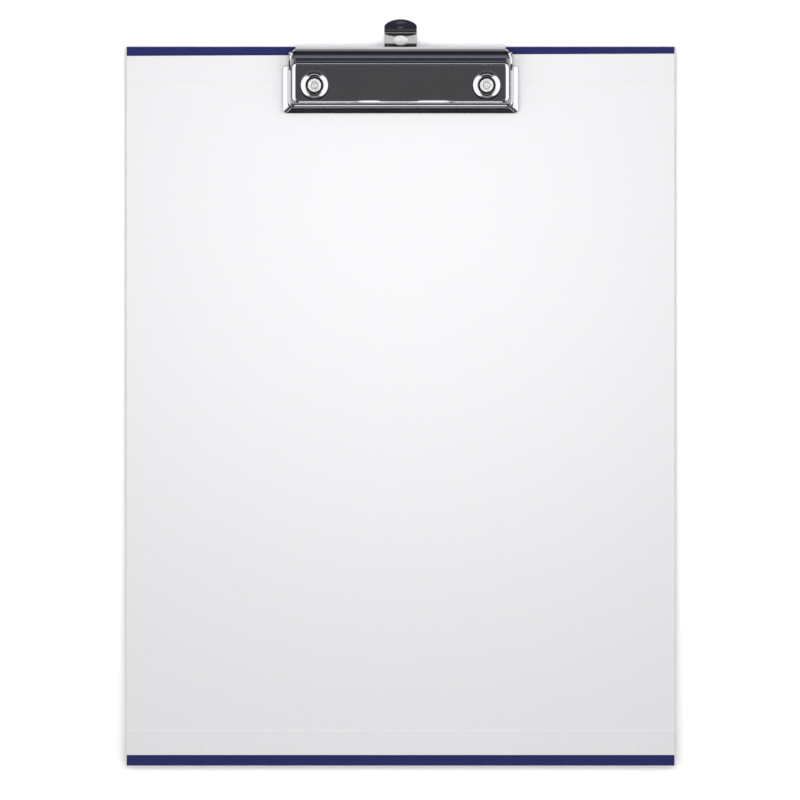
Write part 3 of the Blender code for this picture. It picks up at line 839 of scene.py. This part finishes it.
def jaw_line(outward, height, share):
    """One line of the section, carried down one side, across the front and up the other side."""
    blend = outward / FLANGE
    corner = 2.4 * MM - 0.7 * MM * blend
    grown = max(0.0, (outward - MM) / (FLANGE - MM))
    front_outward = outward + grown * (FRONT_FLANGE - FLANGE)
    x, y = JAW_INNER + outward, down(JAW_FRONT + front_outward)
    turn = arc((x - corner, y + corner), corner, 0, -90, 12)
    right = [(x, py, 0) for py in np.linspace(down(JAW_REAR), turn[0][1], 14)[:-1]]
    right += [(px, py, i / 12) for i, (px, py) in enumerate(turn)]
    points = []
    for px, py, turned_share in right:
        lip = SIDE_LIP + (FRONT_LIP - SIDE_LIP) * turned_share
        points.append((px, py, up(height + share * lip)))
    front = np.linspace(right[-1][0], -right[-1][0], 60)[1:-1]
    middle = [(px, right[-1][1], points[-1][2]) for px in front]
    return points + middle + [(-px, py, pz) for px, py, pz in reversed(points)]


def make_jaw_rim():
    """The beaded frame round the plate, with its flared sides and front lip."""
    rows = [jaw_line(*point) for point in jaw_section()]
    bm, lines = grid_surface(rows, closed_rows=True)
    for end in (0, -1):
        bm.faces.new([line[end] for line in lines])
    return add_object("jaw_rim", bm)


def ear_outline():
    """The ear's side view: round the pin, then forward to the rim, as (y, z) points."""
    y, z = AXIS.y, AXIS.z
    rim_top = up(EAR_FRONT_UP)
    points = [(down(EAR_FRONT), up(1.8 * MM)), (down(WEB_FRONT), up(WEB_UP)), (down(WEB_REAR), up(WEB_UP))]
    points += arc((y, z), EAR_RADIUS, -60, 75, 24)
    points += [(down(EAR_FRONT - 2 * MM), rim_top), (down(EAR_FRONT), rim_top)]
    return points


def ear_plan(side):
    """The ear's curved band in plan, as an outer and an inner line from front to rear."""
    edge = JAW_INNER + EAR_OUT
    front = down(EAR_FRONT + 1.5 * MM)
    outer, inner = [(edge, front)], [(edge - SHEET, front)]
    for t in np.radians(np.linspace(0, 82, 18)):
        x = edge - EAR_REACH + EAR_REACH * math.cos(t)
        y = down(7.8 * MM - EAR_DEPTH * math.sin(t))
        nx, ny = math.cos(t) / EAR_REACH, math.sin(t) / EAR_DEPTH
        size = math.hypot(nx, ny)
        outer.append((x, y))
        inner.append((x - SHEET * nx / size, y - SHEET * ny / size))
    return [(side * x, y) for x, y in outer], [(side * x, y) for x, y in inner]


def make_ear(side):
    """One ear: the curved band cut to its side view, with a bore for the pin."""
    outer, inner = ear_plan(side)
    levels = (LINING_LOW[2], up(EAR_TOP))
    shell = add_object("jaw_ear", prism([[(x, y, z) for x, y in outer + inner[::-1]] for z in levels]))
    bore = arc((AXIS.y, AXIS.z), PIN_HIGH[2] - AXIS.z + PIN_ROOM, 0, 360, 48)[:-1]
    for points, operation in ((ear_outline(), "INTERSECT"), (bore, "DIFFERENCE")):
        tool = prism([[(side * x, y, z) for y, z in points] for x in EAR_BLOCK])
        combine(shell, add_object("jaw_ear_tool", tool), operation)
    soften(shell, EAR_EDGE, 4, 40)
    bake(shell)
    return shell


def combine(piece, tool, operation):
    """Applies a Boolean at once and removes the helper."""
    step = piece.modifiers.new("combine", "BOOLEAN")
    step.operation = operation
    step.solver = "EXACT"
    step.object = tool
    bake(piece)
    bpy.data.objects.remove(tool, do_unlink=True)


def bake(piece):
    """Turns a piece's modifiers into plain mesh."""
    seen = piece.evaluated_get(bpy.context.evaluated_depsgraph_get())
    mesh = bpy.data.meshes.new_from_object(seen)
    piece.modifiers.clear()
    piece.data = mesh


def make_web():
    """The strip under the pin that joins the ears and takes the push of the springs."""
    reach = JAW_INNER + 0.4 * MM
    step = reach - 5 * MM
    rear, shallow, deep = down(WEB_REAR), down(WEB_FRONT), down(WEB_FRONT + WEB_STEP)
    plan = [(reach, rear), (reach, shallow), (step, shallow), (step, deep)]
    plan += [(-x, y) for x, y in reversed(plan)]
    levels = (up(WEB_UP), up(WEB_UP) + SHEET)
    return add_object("jaw_web", prism([[(x, y, z) for x, y in plan] for z in levels]))


def make_jaw():
    rim = make_jaw_rim()
    ears = [make_ear(side) for side in (-1, 1)]
    piece = join([rim, make_web()] + ears, "jaw_chrome")
    piece.data.set_sharp_from_angle(angle=math.radians(45))
    soften(piece, JAW_EDGE, 3, 45)
    even_shading(piece)
    return piece


# ---------------------------------------------------------------- hanging tab


def tab_path():
    """The middle of the tab's sheet, as (beyond the top edge, height) points from the leg to the tip."""
    leg, flat = -TAB_LEG, TAB_FLAT_UP
    points = [(leg, h) for h in np.linspace(-0.25 * MM, flat - TAB_INNER_BEND, 6)]
    points += arc((leg + TAB_INNER_BEND, flat - TAB_INNER_BEND), TAB_INNER_BEND, 180, 90, 10)[1:]
    points += arc((0.2 * MM, flat - TAB_OUTER_BEND), TAB_OUTER_BEND, 90, 90 - TAB_SLOPE, 12)
    slope, tip = math.radians(TAB_SLOPE), math.radians(TAB_TIP_SLOPE)
    start = Vector(points[-1])
    end = Vector((TAB_SLOPE_END, start.y - (TAB_SLOPE_END - start.x) * math.tan(slope)))
    points += [tuple(start.lerp(end, t)) for t in np.linspace(0, 1, 19)[1:]]
    centre = (end.x + TAB_TIP_BEND * math.sin(slope), end.y + TAB_TIP_BEND * math.cos(slope))
    points += arc(centre, TAB_TIP_BEND, 270 - TAB_SLOPE, 270 + TAB_TIP_SLOPE, 16)[1:]
    start = Vector(points[-1])
    end = Vector((TAB_TIP + MM, start.y + (TAB_TIP + MM - start.x) * math.tan(tip)))
    return points + [tuple(start.lerp(end, t)) for t in np.linspace(0, 1, 16)[1:]]


def offset_path(path, distance):
    """The path moved sideways, to its left, by the distance."""
    moved = []
    for i, point in enumerate(path):
        before, after = Vector(path[max(i - 1, 0)]), Vector(path[min(i + 1, len(path) - 1)])
        along = (after - before).normalized()
        moved.append((point[0] - along.y * distance, point[1] + along.x * distance))
    return moved


def tab_outline():
    """The face in plan: straight sides and an arched tip."""
    rise = TAB_TIP - TAB_SHOULDER
    points = [(TAB_HALF, TOP + y) for y in np.linspace(0, TAB_SHOULDER, 16)[:-1]]
    for share in np.cos(np.linspace(0, math.pi, 49)):
        lift = max(0.0, 1 - abs(share) ** 1.9) ** 0.6
        points.append((share * TAB_HALF, down(-TAB_SHOULDER) + rise * lift))
    return points + [(-TAB_HALF, TOP + y) for y in np.linspace(TAB_SHOULDER, 0, 16)[1:]]


def tab_dish(x, beyond):
    """Depth of the shallow dish that is pressed in the tab's upturned end."""
    across, along = x / (4.4 * MM), (beyond - 9.6 * MM) / (2.0 * MM)
    reach = across * across + along * along
    return 0.16 * MM * (1 - reach) ** 2 if reach < 1 else 0.0


def make_tab():
    """The sloping face with its hole, from the bend at the roll to the arched tip, and the leg inside."""
    middle = tab_path()
    top = offset_path(middle, SHEET / 2)
    face = [point for point in top if point[0] > -0.6 * MM]
    beyonds, heights = [p[0] for p in face], [p[1] for p in face]

    def height(x, y):
        return up(float(np.interp(y - TOP, beyonds, heights))) - tab_dish(x, y - TOP)

    outline = tab_outline()
    rings = []
    for r in np.arange(1.0, 1.3, 0.08) * TAB_HOLE:
        circle = arc((0, 0), r, 0, 360, 72)[:-1]
        rings.append([(x, down(-TAB_HOLE_BEYOND) + TAB_HOLE_SQUEEZE * y) for x, y in circle])
    extra = [point for ring in rings[1:] for point in ring]
    for beyond in beyonds:
        if beyond < 0.05 * MM or beyond > TAB_TIP:
            continue
        for x in np.linspace(-TAB_HALF + 0.4 * MM, TAB_HALF - 0.4 * MM, 25):
            near = math.hypot(x, (beyond - TAB_HOLE_BEYOND) / TAB_HOLE_SQUEEZE) < 1.32 * TAB_HOLE
            if not near and contains(outline, (x, TOP + beyond)):
                extra.append((x, TOP + beyond))
    bm = plan_surface([outline, rings[0]], extra, height)
    face_piece = add_object("tab_face", bm)
    orient_up(face_piece)
    leg = [point for point in top if point[0] <= 0.0]
    leg.append((0.0, height(0, TOP) - BASE))
    across = np.linspace(-TAB_HALF, TAB_HALF, 16)
    rows = [[(x, TOP + beyond, up(h)) for beyond, h in leg] for x in across]
    bm, _ = grid_surface(rows)
    leg_piece = add_object("tab_leg", bm)
    orient_up(leg_piece)
    piece = join([face_piece, leg_piece], "tab_nickel")
    orient_up(piece, weld=0.005 * MM)
    thicken(piece, SHEET - 0.04 * MM)
    soften(piece, 0.16 * MM, 3, 50)
    even_shading(piece)
    return piece


# ---------------------------------------------------------------- pin and springs


def make_pin():
    """The axle, with chamfered ends."""
    radius = PIN_HIGH[2] - AXIS.z
    half = PIN_HIGH[0] - PIN_INSET
    inner, thin = half - PIN_CHAMFER, radius - PIN_CHAMFER
    stations = [(-half, thin), (-inner, radius), (inner, radius), (half, thin)]
    rows = [[(x, y, z) for y, z in arc((AXIS.y, AXIS.z), r, 0, 360, 48)[:-1]] for x, r in stations]
    piece = add_object("pin_steel", prism(rows))
    piece.data.set_sharp_from_angle(angle=math.radians(30))
    return piece


def make_spring(name, side):
    """A torsion spring: a fixed leg, the coil round the pin and a leg on the web."""
    count = round(SPRING_TURNS * 24)
    points = [(side * SPRING_START, AXIS.y + SPRING_RADIUS + SPRING_GAP, up(SPRING_LEG_UP))]
    for step in range(count + 1):
        turns = SPRING_TURNS * step / count
        y = AXIS.y + SPRING_RADIUS * math.cos(math.tau * turns)
        z = AXIS.z + SPRING_RADIUS * math.sin(math.tau * turns)
        points.append((side * (SPRING_START + SPRING_PITCH * turns), y, z))
    points.append((points[-1][0], AXIS.y - SPRING_RADIUS, up(WEB_UP) + SHEET + SPRING_GAP))
    return add_object(name, tube(points, SPRING_WIRE))


# ---------------------------------------------------------------- studio

# World as the chrome sees it: degrees from overhead towards the foot of the board, and a grey or colour
STUDIO = [
    (-180, (190, 190, 192)),
    (-92, (215, 215, 216)),
    (-84, (185, 185, 186)),
    (-77, (132, 132, 133)),
    (-61, (128, 128, 129)),
    (-47, (62, 62, 63)),
    (-36, (38, 38, 39)),
    (-3.1, (34, 34, 38)),
    (-2.95, (72, 72, 73)),
    (4.7, (72, 72, 74)),
    (7.3, (104, 104, 116)),
    (20.9, (100, 99, 113)),
    (23.4, (42, 43, 55)),
    (38.5, (48, 50, 61)),
    (41.8, (80, 80, 88)),
    (49.2, (80, 80, 88)),
    (52.5, (56, 57, 61)),
    (58, (38, 38, 40)),
    (62.2, (38, 38, 40)),
    (62.7, (255, 255, 255)),
    (66.0, (255, 255, 255)),
    (66.5, (38, 38, 40)),
    (88, (38, 38, 40)),
    (104, (60, 60, 62)),
    (180, (190, 190, 192)),
]
CHROME_TINT = 0.44
PANEL_COLOUR = (2.2, 2.2, 2.22, 1)
PANEL_START = (0.45, 0.66)
PANEL_FOOT = (0.03, 0.16)
BACKDROP_COLOUR = (0.9, 0.9, 0.91, 1)


def linear(value):
    """A display value from 0 to 255 as linear light."""
    share = value / 255
    return share / 12.92 if share <= 0.04045 else ((share + 0.055) / 1.055) ** 2.4


def make_world():
    """A graded studio: STUDIO from front to rear, a white panel at each side and a plain backdrop."""
    world = bpy.data.worlds.new("studio")
    world.use_nodes = True
    nodes, links = world.node_tree.nodes, world.node_tree.links
    background = nodes["Background"]
    place = nodes.new("ShaderNodeTexCoord")
    split = nodes.new("ShaderNodeSeparateXYZ")
    links.new(place.outputs["Generated"], split.inputs[0])

    def math_node(operation, *sources):
        made = nodes.new("ShaderNodeMath")
        made.operation = operation
        for index, source in enumerate(sources):
            if isinstance(source, (int, float)):
                made.inputs[index].default_value = source
            else:
                links.new(source, made.inputs[index])
        return made.outputs[0]

    def eased(source, low, high):
        made = nodes.new("ShaderNodeMapRange")
        made.interpolation_type = "SMOOTHSTEP"
        made.inputs["From Min"].default_value = low
        made.inputs["From Max"].default_value = high
        links.new(source, made.inputs["Value"])
        return made.outputs["Result"]

    def mixed(factor, source, colour):
        made = nodes.new("ShaderNodeMix")
        made.data_type = "RGBA"
        links.new(factor, made.inputs["Factor"])
        links.new(source, made.inputs[6])
        made.inputs[7].default_value = colour
        return made.outputs[2]

    toward = math_node("MULTIPLY", split.outputs["Y"], -1)
    angle = math_node("ARCTAN2", toward, split.outputs["Z"])
    share = math_node("ADD", math_node("MULTIPLY", angle, 1 / math.tau), 0.5)
    ramp = nodes.new("ShaderNodeValToRGB")
    links.new(share, ramp.inputs[0])
    stops = ramp.color_ramp.elements
    while len(stops) < len(STUDIO):
        stops.new(0.5)
    for stop, (degrees, colour) in zip(stops, STUDIO):
        stop.position = degrees / 360 + 0.5
        stop.color = (*[linear(c) / CHROME_TINT for c in colour], 1)
    rearward = math_node("MULTIPLY", math_node("MAXIMUM", split.outputs["Y"], 0.0), 0.5)
    widened = math_node("ADD", rearward, 1.0)
    sideways = math_node("MULTIPLY", math_node("ABSOLUTE", split.outputs["X"]), widened)
    above_foot = eased(split.outputs["Z"], *PANEL_FOOT)
    panels = math_node("MULTIPLY", eased(sideways, *PANEL_START), above_foot)
    room = mixed(panels, ramp.outputs["Color"], PANEL_COLOUR)
    seen_directly = nodes.new("ShaderNodeLightPath").outputs["Is Camera Ray"]
    links.new(mixed(seen_directly, room, BACKDROP_COLOUR), background.inputs["Color"])
    bpy.context.scene.world = world


def make_floor(material):
    bm = bmesh.new()
    corners = [(FLOOR_HALF * x, FLOOR_HALF * y, 0) for x, y in ((-1, -1), (1, -1), (1, 1), (-1, 1))]
    bm.faces.new([bm.verts.new(corner) for corner in corners])
    floor = add_object("floor", bm)
    floor.location.z = cad_bounds[0][2] - FLOOR_DROP
    floor.data.materials.append(material)


def make_key():
    light = bpy.data.lights.new("key", "AREA")
    light.shape = "DISK"
    light.size = KEY_SIZE
    light.energy = KEY_POWER
    made = bpy.data.objects.new("key", light)
    made.location = KEY_PLACE
    made.visible_glossy = False
    made.visible_camera = False
    bpy.context.collection.objects.link(made)


def make_camera():
    camera = bpy.data.cameras.new("camera")
    camera.sensor_width = SENSOR
    camera.lens = SENSOR * (CAMERA_UP - BASE) / FRAME_WIDTH
    made = bpy.data.objects.new("camera", camera)
    made.location = (*CAMERA_PLACE, CAMERA_UP)
    bpy.context.collection.objects.link(made)
    bpy.context.scene.camera = made


def build():
    chrome_colour = (0.44, 0.443, 0.45)
    chrome = chrome_look("chrome_plate", chrome_colour, 0.03, 0.05)
    jaw_chrome = chrome_look("chrome_jaw", chrome_colour, 0.04, 0.05)
    nickel = chrome_look("nickel_tab", (0.385, 0.385, 0.39), 0.05, 0.08)
    rivet_nickel = chrome_look("nickel_rivet", (0.74, 0.74, 0.74), 0.28, 0.2, 0.4)
    steel = steel_look("spring_steel", (0.45, 0.45, 0.46), 0.3)
    finish(make_back_cover(), "board", "back_cover", foil_look())
    finish(make_lining(), "board", "front_lining", paper_look())
    core = frame["nodes"]["board_core"]
    core.data.materials.clear()
    core.data.materials.append(board_look())
    finish(make_plate(), "board", "clip_plate", chrome)
    finish(make_jaw(), "jaw", "jaw_frame", jaw_chrome)
    finish(make_tab(), "board", "hanging_tab", nickel)
    finish(make_rivet("rivet_collar_left", -1), "board", "rivet_left", rivet_nickel)
    finish(make_rivet("rivet_collar_right", 1), "board", "rivet_right", rivet_nickel)
    finish(make_pin(), "board", "hinge_pin", steel)
    for name, side in (("spring_left", -1), ("spring_right", 1)):
        spring = make_spring(name + "_wire", side)
        finish(spring, None, name, steel)
        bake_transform(spring)
    make_floor(floor_look())
    make_world()
    make_key()
    make_camera()
    scene = bpy.context.scene
    scene.view_settings.view_transform = "Standard"
    scene.view_settings.look = "None"


build()
bpy.context.view_layer.update()
